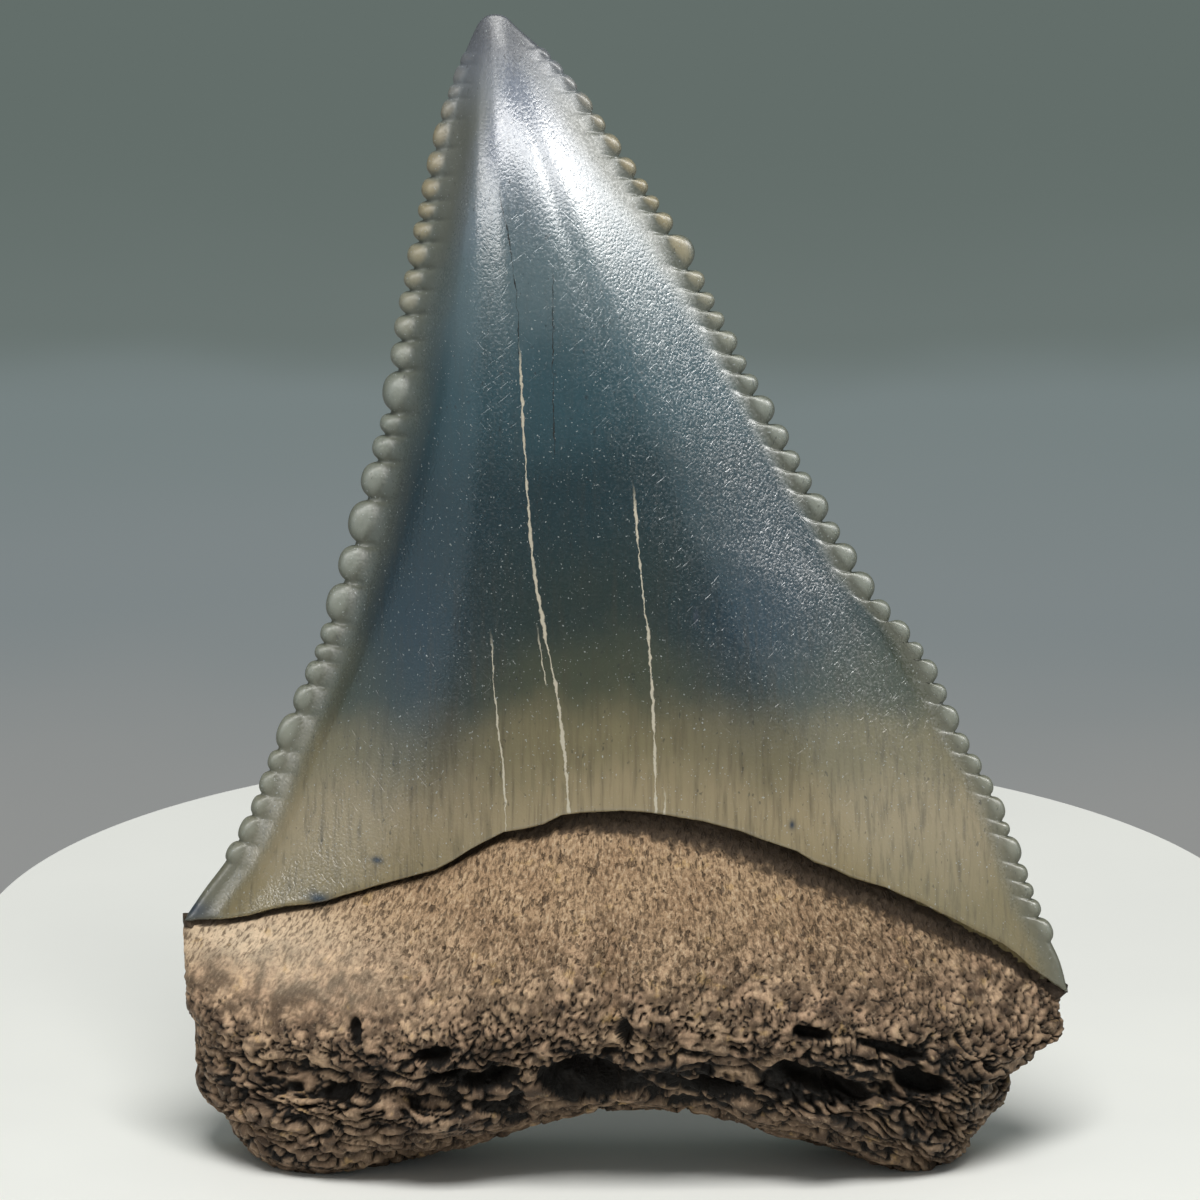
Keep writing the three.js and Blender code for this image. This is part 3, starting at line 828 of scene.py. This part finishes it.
class Nodes:
    """Short ways to add and link a material's nodes."""

    def __init__(self, name):
        self.material = bpy.data.materials.new(name)
        self.material.use_nodes = True
        self.tree = self.material.node_tree
        self.shader = self.tree.nodes["Principled BSDF"]

    def add(self, kind, **settings):
        node = self.tree.nodes.new(kind)
        for key, value in settings.items():
            setattr(node, key, value)
        return node

    def feed(self, socket, value):
        if isinstance(value, bpy.types.NodeSocket):
            self.tree.links.new(value, socket)
        elif value is not None:
            socket.default_value = value

    def math(self, operation, first, second=None, third=None):
        node = self.add("ShaderNodeMath", operation=operation)
        for socket, value in zip(node.inputs, (first, second, third)):
            self.feed(socket, value)
        return node.outputs[0]

    def attribute(self, name):
        return self.add("ShaderNodeAttribute", attribute_name=name).outputs["Fac"]

    def place_mm(self, scale=(1, 1, 1), lean=0.0):
        """The point's place in millimetres, stretched by a scale for each axis after a turn about Y."""
        texture = self.add("ShaderNodeTexCoord")
        mapping = self.add("ShaderNodeMapping", vector_type="TEXTURE")
        mapping.inputs["Rotation"].default_value = (0, lean, 0)
        mapping.inputs["Scale"].default_value = [MM / s for s in scale]
        self.tree.links.new(texture.outputs["Object"], mapping.inputs["Vector"])
        return mapping.outputs["Vector"]

    def axes_mm(self):
        node = self.add("ShaderNodeSeparateXYZ")
        self.feed(node.inputs[0], self.place_mm())
        return node.outputs

    def fanned(self, scale):
        """The point's place like place_mm, with the fan attribute instead of x."""
        across = self.add("ShaderNodeCombineXYZ")
        axes = self.axes_mm()
        for socket, value, stretch in zip(across.inputs, (self.attribute("fan"), axes[1], axes[2]), scale):
            self.feed(socket, self.math("MULTIPLY", value, stretch))
        return across.outputs[0]

    def noise(self, scale, per_mm=1.0, detail=4.0, roughness=0.55, lean=0.0, place=None):
        node = self.add("ShaderNodeTexNoise")
        self.feed(node.inputs["Vector"], place or self.place_mm(scale, lean))
        node.inputs["Scale"].default_value = per_mm
        node.inputs["Detail"].default_value = detail
        node.inputs["Roughness"].default_value = roughness
        return node.outputs["Fac"]

    def cells(self, scale):
        """Distance to the middle of the nearest cell, and a random value for each cell."""
        node = self.add("ShaderNodeTexVoronoi")
        self.feed(node.inputs["Vector"], self.place_mm(scale))
        node.inputs["Scale"].default_value = 1.0
        value = self.math("FRACT", self.math("MULTIPLY", node.outputs["Color"], 7.0))
        return node.outputs["Distance"], value

    def between(self, value, low, high, new_low=0.0, new_high=1.0):
        """Value moved smoothly from the range low to high into the new range."""
        node = self.add("ShaderNodeMapRange", interpolation_type="SMOOTHSTEP")
        for socket, number in zip(node.inputs, (value, low, high, new_low, new_high)):
            self.feed(socket, number)
        return node.outputs[0]

    def ramp(self, value, stops):
        node = self.add("ShaderNodeValToRGB")
        node.color_ramp.interpolation = "EASE"
        elements = node.color_ramp.elements
        while len(elements) < len(stops):
            elements.new(0.5)
        for element, (place, colour) in zip(elements, stops):
            element.position = place
            element.color = (*colour, 1)
        self.feed(node.inputs[0], value)
        return node.outputs[0]

    def mix_colour(self, share, first, second, blend="MIX"):
        node = self.add("ShaderNodeMix", data_type="RGBA", blend_type=blend)
        self.feed(node.inputs[0], share)
        for socket, value in ((node.inputs[6], first), (node.inputs[7], second)):
            self.feed(socket, (*value, 1) if isinstance(value, tuple) else value)
        return node.outputs[2]

    def bump(self, height, strength, depth_mm):
        """Gives the shader a relief of a strength and depth."""
        node = self.add("ShaderNodeBump")
        node.inputs["Strength"].default_value = strength
        node.inputs["Distance"].default_value = depth_mm * MM
        self.feed(node.inputs["Height"], height)
        self.feed(self.shader.inputs["Normal"], node.outputs[0])

    def spot(self, axes, x, z, half_width, half_height):
        """1 at a place of the front view, falling smoothly to 0 around it."""
        along = self.math("DIVIDE", self.math("SUBTRACT", axes[0], x), half_width)
        over = self.math("DIVIDE", self.math("SUBTRACT", axes[2], z), half_height)
        squared = self.math("ADD", self.math("MULTIPLY", along, along), self.math("MULTIPLY", over, over))
        return self.math("EXPONENT", self.math("MULTIPLY", squared, -1.0))

    def hairline(self, axes, points, half_width):
        """1 on a thin line through (x, z) points of the front view, from the lowest up, 0 elsewhere."""
        lowest, highest = points[0][1], points[-1][1]
        left = min(x for x, z in points) - 1
        span = max(x for x, z in points) + 1 - left
        curve = self.add("ShaderNodeFloatCurve")
        line = curve.mapping.curves[0]
        while len(line.points) < len(points):
            line.points.new(0.5, 0.5)
        for knot, (x, z) in zip(line.points, points):
            knot.location = ((z - lowest) / (highest - lowest), (x - left) / span)
        curve.mapping.update()
        share = self.math("DIVIDE", self.math("SUBTRACT", axes[2], lowest), highest - lowest)
        self.feed(curve.inputs["Value"], share)
        wobble = self.math("MULTIPLY", self.math("SUBTRACT", self.noise((1, 1, 1), 2.4, 5.0), 0.5), 0.22)
        line_x = self.math("ADD", self.math("MULTIPLY_ADD", curve.outputs[0], span, left), wobble)
        distance = self.math("ABSOLUTE", self.math("SUBTRACT", axes[0], line_x))
        uneven = self.noise((1, 1, 1), 1.1, 4.0)
        width = self.between(uneven, 0.35, 0.65, 0.35 * half_width, 1.6 * half_width)
        thin = self.between(distance, width, self.math("MULTIPLY", width, 0.4))
        lower_end = self.between(axes[2], lowest - 0.05, lowest + 0.15)
        upper_end = self.between(axes[2], highest, highest - 1.5)
        front = self.between(axes[1], EDGE_Y, EDGE_Y - 0.5)
        ends = self.math("MULTIPLY", lower_end, upper_end)
        return self.math("MULTIPLY", self.math("MULTIPLY", thin, ends), front)


CREAM = (0.58, 0.53, 0.42)
DARK = (0.02, 0.022, 0.022)

# Cracks of the enamel as (x, z) points from the lowest up, with their half-widths and colours
CRACKS = [
    ([(-2.3, 15.9), (-2.7, 20.2), (-3.3, 23.5), (-3.7, 25.9), (-3.98, 29.2), (-4.28, 35.4)], 0.065, CREAM),
    ([(-3.2, 21.2), (-3.42, 22.4), (-3.6, 23.9)], 0.045, CREAM),
    ([(-4.3, 34.6), (-4.5, 37.9), (-5.2, 41.5)], 0.03, DARK),
    ([(-2.85, 30.5), (-2.95, 34.2), (-2.9, 38.4)], 0.022, DARK),
    ([(1.19, 15.9), (0.98, 21.9), (0.57, 25.9), (0.25, 29.6)], 0.055, CREAM),
    ([(1.5, 15.8), (1.56, 16.6), (1.4, 17.4)], 0.05, CREAM),
    ([(-4.84, 15.0), (-4.96, 17.6), (-5.29, 20.6), (-5.45, 23.5)], 0.04, CREAM),
]

# Colours of the enamel from the root up, against the height as a share of this one
COLOUR_HEIGHT = 48.0
ENAMEL_COLOURS = [
    (0.26, (0.25, 0.2, 0.1)),
    (0.345, (0.34, 0.275, 0.165)),
    (0.4, (0.21, 0.18, 0.1)),
    (0.46, (0.06, 0.07, 0.045)),
    (0.52, (0.02, 0.037, 0.035)),
    (0.61, (0.013, 0.037, 0.047)),
    (0.7, (0.03, 0.075, 0.095)),
    (0.8, (0.1, 0.15, 0.17)),
    (0.94, (0.22, 0.25, 0.31)),
    (1.0, (0.1, 0.11, 0.14)),
]
NAVY = (0.012, 0.036, 0.062)
STREAK = (0.06, 0.05, 0.034)
EDGE_OLIVE = (0.13, 0.135, 0.1)
# Bead colours, lighter than the edge band: partly the beads' own paler enamel, partly painted glow of light
# through them
BEAD_GREY = (0.3, 0.32, 0.27)
BEAD_AMBER = (0.44, 0.35, 0.18)
MARK_BLUE = (0.035, 0.05, 0.07)
# Painted glints of tiny pits in the enamel
PAINTED_GLINT_SPECK = (0.5, 0.54, 0.54)
DARK_SPECK = (0.02, 0.025, 0.028)

# Navy places beside the middle of the crown: x, z, half-width, half-height
LEFT_NAVY = (-8.3, 22.5, 2.6, 5.5)
RIGHT_NAVY = (5.4, 23.5, 3.2, 4.5)

# Directions of the fine scratches, in degrees
SCRATCH_LEANS = (50, 25, -40)

# Dark marks of the enamel: x, z, half-width, half-height
DARK_MARKS = [
    (-12.5, 11.5, 0.5, 0.28),
    (-17.7, 10.3, 0.7, 0.5),
    (-10.1, 13.4, 0.25, 0.15),
    (2.8, 23.9, 0.1, 0.3),
    (6.7, 15.2, 0.12, 0.2),
]


def enamel_body(n, axes, mottle):
    """The colours from the root to the tip, navy beside the middle, and upright streaks near the root."""
    height = n.math("MULTIPLY_ADD", n.math("SUBTRACT", mottle, 0.5), 3.2, axes[2])
    height = n.math("MULTIPLY_ADD", n.math("ABSOLUTE", axes[0]), 0.16, height)
    body = n.ramp(n.math("DIVIDE", height, COLOUR_HEIGHT), ENAMEL_COLOURS)
    navy = n.math("MAXIMUM", n.spot(axes, *LEFT_NAVY), n.spot(axes, *RIGHT_NAVY))
    body = n.mix_colour(n.math("MULTIPLY", navy, 0.8), body, NAVY)
    streak = n.noise((4.5, 2.0, 0.3), 1.0, 5.0, 0.6)
    lower_part = n.between(axes[2], 28, 15, 0.15, 0.6)
    streak_share = n.math("MULTIPLY", n.between(streak, 0.42, 0.8), lower_part)
    return n.mix_colour(streak_share, body, STREAK)


def enamel_edge(n, axes, mottle, body):
    """How far each place belongs to the band along the cutting edges, and the colour with that band."""
    near_tip = n.between(axes[2], 32, 42)
    band_end = n.math("MULTIPLY_ADD", near_tip, 0.7, 2.3)
    place = n.math("MULTIPLY_ADD", mottle, 0.9, n.attribute("edge_mm"))
    band = n.between(place, band_end, n.math("SUBTRACT", band_end, 1.5))
    bead_colour = n.mix_colour(near_tip, BEAD_GREY, BEAD_AMBER)
    # Lighter towards each bead's middle: partly paler enamel, partly painted glow of light through the thin
    # bead
    olive = n.mix_colour(n.attribute("bead"), EDGE_OLIVE, bead_colour)
    band_share = n.math("MULTIPLY", band, n.between(axes[2], 46.6, 43, 0.2, 0.85))
    return band, n.mix_colour(band_share, body, olive)


def enamel_marks(n, axes, body):
    """The colour with its cracks, dark marks, dark specks, and pale specks that are painted glints."""
    for points, half_width, colour in CRACKS:
        body = n.mix_colour(n.hairline(axes, points, half_width), body, colour)
    for mark in DARK_MARKS:
        body = n.mix_colour(n.spot(axes, *mark), body, MARK_BLUE)
    # Pale specks: painted glints of tiny pits
    glint_speck = n.noise((1, 1, 1), 11.0, 1.0, 0.4)
    body = n.mix_colour(n.between(glint_speck, 0.7, 0.77, 0.0, 0.6), body, PAINTED_GLINT_SPECK)
    dark_speck = n.between(n.noise((5, 5, 2.5), 1.0, 2.0, 0.6), 0.34, 0.26, 0.0, 0.5)
    return n.mix_colour(dark_speck, body, DARK_SPECK)


def enamel_surface(n, band):
    """Fine grain and scratches, and a gloss that is duller in the band along the edges."""
    grain = n.noise((1, 1, 1), 9.0, 1.0, 0.4)
    relief = n.math("MULTIPLY", grain, 1.3)
    for lean in SCRATCH_LEANS:
        strokes = n.noise((10.0, 3.0, 0.9), 1.0, 1.0, 0.5, math.radians(lean))
        relief = n.math("SUBTRACT", relief, n.between(strokes, 0.66, 0.78, 0.0, 0.5))
    n.bump(relief, 0.27, 0.02)
    gloss = n.between(grain, 0.3, 0.75, 0.12, 0.24)
    n.feed(n.shader.inputs["Roughness"], n.math("MULTIPLY_ADD", band, 0.2, gloss))


def enamel_material():
    n = Nodes("enamel")
    axes = n.axes_mm()
    mottle = n.noise((1, 1, 0.7), 0.35, 5.0)
    band, body = enamel_edge(n, axes, mottle, enamel_body(n, axes, mottle))
    n.feed(n.shader.inputs["Base Color"], enamel_marks(n, axes, body))
    enamel_surface(n, band)
    n.shader.inputs["IOR"].default_value = 1.6
    n.shader.inputs["Subsurface Weight"].default_value = 0.12
    n.shader.inputs["Subsurface Radius"].default_value = (1.0, 0.9, 0.7)
    n.shader.inputs["Subsurface Scale"].default_value = 0.6 * MM
    return n.material


# Colours of the bone, darker and lighter where there are two
UPPER_BONE = ((0.31, 0.2, 0.115), (0.4, 0.27, 0.16))
# Worn bone between the ridges: partly its own darker brown, partly painted shade
LOWER_BONE_AND_SHADE = ((0.045, 0.028, 0.018), (0.09, 0.058, 0.037))
# Ridge tops: partly paler bone, partly painted highlight
CREST_BONE_AND_HIGHLIGHT = ((0.41, 0.27, 0.175), (0.56, 0.39, 0.25))
PALE_BONE = (0.95, 0.77, 0.56)
RIM_BONE = (0.26, 0.2, 0.13)
OCHRE = (0.46, 0.3, 0.13)
# Fibre grain: the bone's own darker and paler tones, with painted shade on the low grain and painted
# highlight on the high
DARK_GRAIN_AND_SHADE = (0.075, 0.048, 0.028)
PALE_GRAIN_AND_HIGHLIGHT = (0.62, 0.48, 0.33)
# Painted shade inside the slits and pores
SLIT_SHADE = (0.035, 0.022, 0.014)
PORE_SHADE = (0.02, 0.013, 0.009)
# Painted shade of the deep pits and cavities
PIT_SHADE_BLACK = (0.004, 0.003, 0.002)
NECK_BROWN = (0.03, 0.02, 0.013)


def bone_body(n, axes, worn, pale_left):
    """The colour of the bone: smooth above; below, dark brown that is partly painted shade, with ridge tops
    lighter by a painted highlight that fades near the floor; ochre in patches.
    """
    patches = n.between(n.noise((1, 1, 1), 0.6, 6.0), 0.35, 0.65)
    upper = n.mix_colour(pale_left, n.mix_colour(patches, *UPPER_BONE), PALE_BONE)
    # Painted highlight on the ridge tops, weaker near the floor
    crest = n.math("MULTIPLY", n.attribute("crest"), n.between(axes[2], 1.5, 6.5, 0.55, 1.0))
    lower = n.mix_colour(crest, n.mix_colour(patches, *LOWER_BONE_AND_SHADE), n.mix_colour(patches, *CREST_BONE_AND_HIGHLIGHT))
    body = n.mix_colour(worn, upper, lower)
    body = n.mix_colour(n.attribute("rim"), body, RIM_BONE)
    ochre = n.math("MULTIPLY", n.between(n.noise((1, 1, 1), 1.2, 3.0), 0.62, 0.72), 0.55)
    return n.mix_colour(ochre, body, OCHRE)


def bone_pores(n, worn, calm):
    """1 in scattered round pores, most where the bone is worn."""
    distance, kind = n.cells((3.2, 3.2, 2.6))
    pores = n.math("MULTIPLY", n.between(distance, 0.34, 0.16), n.between(kind, 0.5, 0.6))
    return n.math("MULTIPLY", n.math("MULTIPLY", pores, n.between(worn, 0.0, 0.5, 0.3, 1.0)), calm)


def bone_slits(n, worn, calm):
    """1 in the thin slits between the upright fibres."""
    lines = n.noise((1, 1, 1), 1.0, 2.0, 0.6, place=n.fanned((5.0, 4.0, 1.5)))
    slits = n.math("MULTIPLY", n.between(lines, 0.42, 0.34), calm)
    return n.math("MULTIPLY", slits, n.between(worn, 1.0, 0.6))


def root_material():
    n = Nodes("root")
    axes = n.axes_mm()
    worn = n.attribute("worn")
    pale_left = n.math("MULTIPLY", n.spot(axes, *PALE_PLACE), 0.95)
    calm = n.between(pale_left, 0.2, 0.7, 1.0, 0.15)
    fresh = n.between(worn, 1.0, 0.3, 0.45, 1.0)
    pores = bone_pores(n, worn, calm)
    slits = bone_slits(n, worn, calm)
    grain = n.noise((1, 1, 1), 1.0, 4.0, 0.7, place=n.fanned((8.0, 8.0, 2.6)))
    # Low grain darker and high grain paler: the fibres' own tones, with painted shade and highlight that
    # follow the bump
    dark_grain_and_shade = n.math("MULTIPLY", n.between(grain, 0.53, 0.38, 0.0, 0.75), fresh)
    pale_grain_and_highlight = n.math("MULTIPLY", n.between(grain, 0.53, 0.66, 0.0, 0.5), fresh)
    body = bone_body(n, axes, worn, pale_left)
    for share, colour in (
        (dark_grain_and_shade, DARK_GRAIN_AND_SHADE),
        (pale_grain_and_highlight, PALE_GRAIN_AND_HIGHLIGHT),
        # Painted shade in the slits between the fibres and in the pores
        (n.math("MULTIPLY", slits, 0.65), SLIT_SHADE),
        (n.math("MULTIPLY", pores, 0.7), PORE_SHADE),
        # Painted shade in the pits and cavities
        (n.between(n.attribute("pit_shade"), 0.05, 0.8, 0.0, 0.98), PIT_SHADE_BLACK),
        (n.math("MULTIPLY", n.attribute("neck"), 0.92), NECK_BROWN),
    ):
        body = n.mix_colour(share, body, colour)
    n.feed(n.shader.inputs["Base Color"], body)
    relief = n.math("MULTIPLY", n.math("SUBTRACT", grain, n.math("MAXIMUM", pores, slits)), fresh)
    n.bump(n.math("ADD", relief, n.noise((1, 1, 1), 8.0, 4.0, 0.7)), 0.8, 0.1)
    n.shader.inputs["Roughness"].default_value = 0.5
    n.shader.inputs["Specular IOR Level"].default_value = 0.2
    return n.material


def floor_material():
    n = Nodes("floor")
    cloud = n.between(n.noise((1, 1, 1), 0.05, 3.0), 0.3, 0.7)
    n.feed(n.shader.inputs["Base Color"], n.mix_colour(cloud, (0.9, 0.91, 0.885), (0.93, 0.94, 0.91)))
    n.shader.inputs["Roughness"].default_value = 0.6
    return n.material


def backdrop_material():
    """Greyer above, lighter and bluer below, in soft clouds."""
    n = Nodes("backdrop")
    cloud = n.math("SUBTRACT", n.noise((0.4, 1, 1), 0.02, 3.0), 0.5)
    height = n.math("MULTIPLY_ADD", cloud, 24.0, n.axes_mm()[2])
    colours = n.ramp(
        n.between(height, BACKDROP_LOW, BACKDROP_HIGH),
        [
            (0.0, (1.0, 1.0, 1.0)),
            (0.3, (0.73, 0.82, 0.86)),
            (0.6, (0.64, 0.76, 0.78)),
            (0.75, (0.49, 0.59, 0.57)),
            (1.0, (0.42, 0.52, 0.49)),
        ],
    )
    n.feed(n.shader.inputs["Base Color"], colours)
    n.shader.inputs["Roughness"].default_value = 0.6
    return n.material


def add_floor():
    """A pale slab with round ends. Its far end lies where the pale ground ends in the photo."""
    half_turn = np.linspace(0, math.pi, 97)
    far_end = np.stack([np.cos(half_turn), np.sin(half_turn)], axis=-1) * FLOOR_HALF_WIDTH
    far_end[:, 1] += FLOOR_HALF_LENGTH - FLOOR_HALF_WIDTH
    outline = np.vstack([far_end, -far_end])
    points = np.column_stack([outline, np.zeros(len(outline))])
    floor = make_piece("floor", points, [np.arange(len(points))[None, :]], {})
    floor.data.materials.append(floor_material())


def add_backdrop():
    """A grey wall far behind the floor, wider than any view."""
    half = BACKDROP_SIZE / 2
    corners = [(-half, -half), (half, -half), (half, half), (-half, half)]
    points = np.array([(x, BACKDROP_PLACE, z) for x, z in corners])
    backdrop = make_piece("backdrop", points, [np.arange(4)[None, :]], {})
    backdrop.data.materials.append(backdrop_material())


def add_area_light(name, azimuth, elevation, distance, size, power, colour):
    """A rectangular light aimed at the crown, from an azimuth right of the camera and an elevation."""
    light = bpy.data.lights.new(name, "AREA")
    light.shape = "RECTANGLE"
    light.size, light.size_y = (s * MM for s in size)
    light.energy = power
    light.color = colour
    lamp = bpy.data.objects.new(name, light)
    lamp.visible_camera = False
    bpy.context.collection.objects.link(lamp)
    turn, rise = math.radians(azimuth), math.radians(elevation)
    outwards = Vector((math.sin(turn) * math.cos(rise), -math.cos(turn) * math.cos(rise), math.sin(rise)))
    lamp.location = (Vector(LIGHT_AIM) + outwards * distance) * MM
    lamp.rotation_euler = (-outwards).to_track_quat("-Z", "Y").to_euler()
    return lamp


def light_only(lamp, pieces):
    """Lets a lamp shine on some pieces alone."""
    receivers = bpy.data.collections.new(lamp.name)
    for piece in pieces:
        receivers.objects.link(piece)
    lamp.light_linking.receiver_collection = receivers


def light_scene(glossy_pieces, dull_pieces):
    """Soft light from above and both sides, one more for the dull pieces, and lights that only the glossy
    ones mirror."""
    world = bpy.data.worlds.new("soft")
    world.use_nodes = True
    background = world.node_tree.nodes["Background"]
    background.inputs["Color"].default_value = (0.86, 0.88, 0.86, 1)
    background.inputs["Strength"].default_value = 0.28
    bpy.context.scene.world = world
    for settings in SOFT_LIGHTS:
        add_area_light(*settings)
    for settings in DULL_LIGHTS:
        light_only(add_area_light(*settings), dull_pieces)
    for settings in GLINTS:
        glint = add_area_light(*settings)
        glint.visible_diffuse = False
        light_only(glint, glossy_pieces)


def add_camera():
    """Looks at the front face from a little above, as the photo does."""
    elevation = math.radians(CAMERA_ELEVATION)
    camera = bpy.data.cameras.new("camera")
    camera.sensor_width = 36.0
    camera.lens = CAMERA_LENS
    camera.clip_end = 10.0
    holder = bpy.data.objects.new("camera", camera)
    bpy.context.collection.objects.link(holder)
    back = Vector((0.0, -math.cos(elevation), math.sin(elevation)))
    holder.location = (Vector(CAMERA_AIM) + back * CAMERA_DISTANCE) * MM
    holder.rotation_euler = (-back).to_track_quat("-Z", "Y").to_euler()
    bpy.context.scene.camera = holder


crown = make_crown()
roots = make_root()
for material, slot, pieces in ((enamel_material(), "enamel", [crown]), (root_material(), "root", roots)):
    for piece in pieces:
        piece.data.materials.append(material)
        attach(piece, "root")
        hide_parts("tooth")

add_floor()
add_backdrop()
light_scene([crown], roots)
add_camera()
bpy.context.scene.view_settings.view_transform = "Standard"
